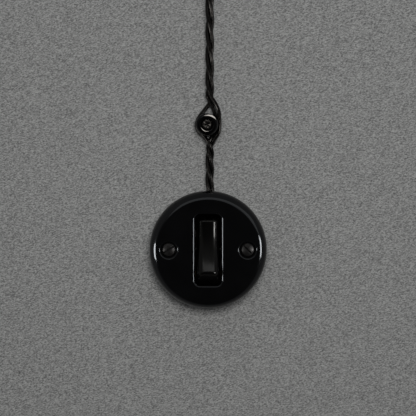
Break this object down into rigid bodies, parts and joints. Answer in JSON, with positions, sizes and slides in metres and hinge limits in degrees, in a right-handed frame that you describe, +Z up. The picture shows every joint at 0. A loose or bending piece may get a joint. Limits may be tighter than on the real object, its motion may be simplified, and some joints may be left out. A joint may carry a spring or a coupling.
{
  "type": "porcelain doorbell switch",
  "caption": "Round surface-mounted black porcelain doorbell switch with a sprung rocker, fed by a twisted textile cord held off the wall by porcelain insulators.",
  "frame": {"origin": "Centre of the back face of the mounting base, on the wall plane", "axes": "+Z up the wall, +X to the right seen from the room, +Y into the wall, so the front faces -Y"},
  "size_m": [0.09, 0.0605, 0.3133],
  "materials": {
    "black_glaze": "black gloss glaze",
    "insulator_glaze": "black gloss glaze",
    "bare_porcelain": "unglazed dark porcelain",
    "black_rocker": "polished black thermoset",
    "moulded_resin": "brown moulded thermoset",
    "dark_steel": "blackened steel",
    "bright_steel": "zinc plated steel",
    "spring_steel": "spring wire",
    "brass": "plain brass",
    "copper": "bare copper",
    "contact_metal": "silvered contact",
    "tinned_metal": "tinned copper",
    "textile": "black braided textile",
    "cap_rubber": "soft insulating cap"
  },
  "bodies": {
    "housing": {"porcelain_cover": "black_glaze", "mounting_base": "bare_porcelain", "cover_screws": "dark_steel", "cover_inserts": "brass", "switch_block": "moulded_resin", "block_screws": "bright_steel", "block_nuts": "bright_steel", "rocker_pin": "bright_steel", "left_strip": "brass", "right_strip": "brass", "strip_contacts": "contact_metal", "return_spring": "spring_steel", "left_terminal": "brass", "right_terminal": "brass", "terminal_screws": "bright_steel", "conductor_tails": "textile", "conductor_cores": "copper", "spare_cap": "cap_rubber", "cord_entry": "textile", "cord_run": "textile", "cord_tail": "textile", "lower_fork": "textile", "upper_fork": "textile", "end_ferrules": "tinned_metal", "lower_insulator": "insulator_glaze", "upper_insulator": "insulator_glaze", "insulator_screws": "dark_steel"},
    "rocker_body": {"rocker": "black_rocker", "contact_bridge": "brass", "bridge_contacts": "contact_metal", "bridge_rivet": "brass"}
  },
  "joints": [
    {"name": "rocker_press", "type": "hinge", "parent": "housing", "child": "rocker_body", "pos_m": [0, -0.021, 0], "axis": [1, 0, 0], "range_deg": [0, 14], "stiffness_Nm_per_rad": 0.25, "springref_deg": -4.58, "deforming": ["return_spring"]}
  ]
}
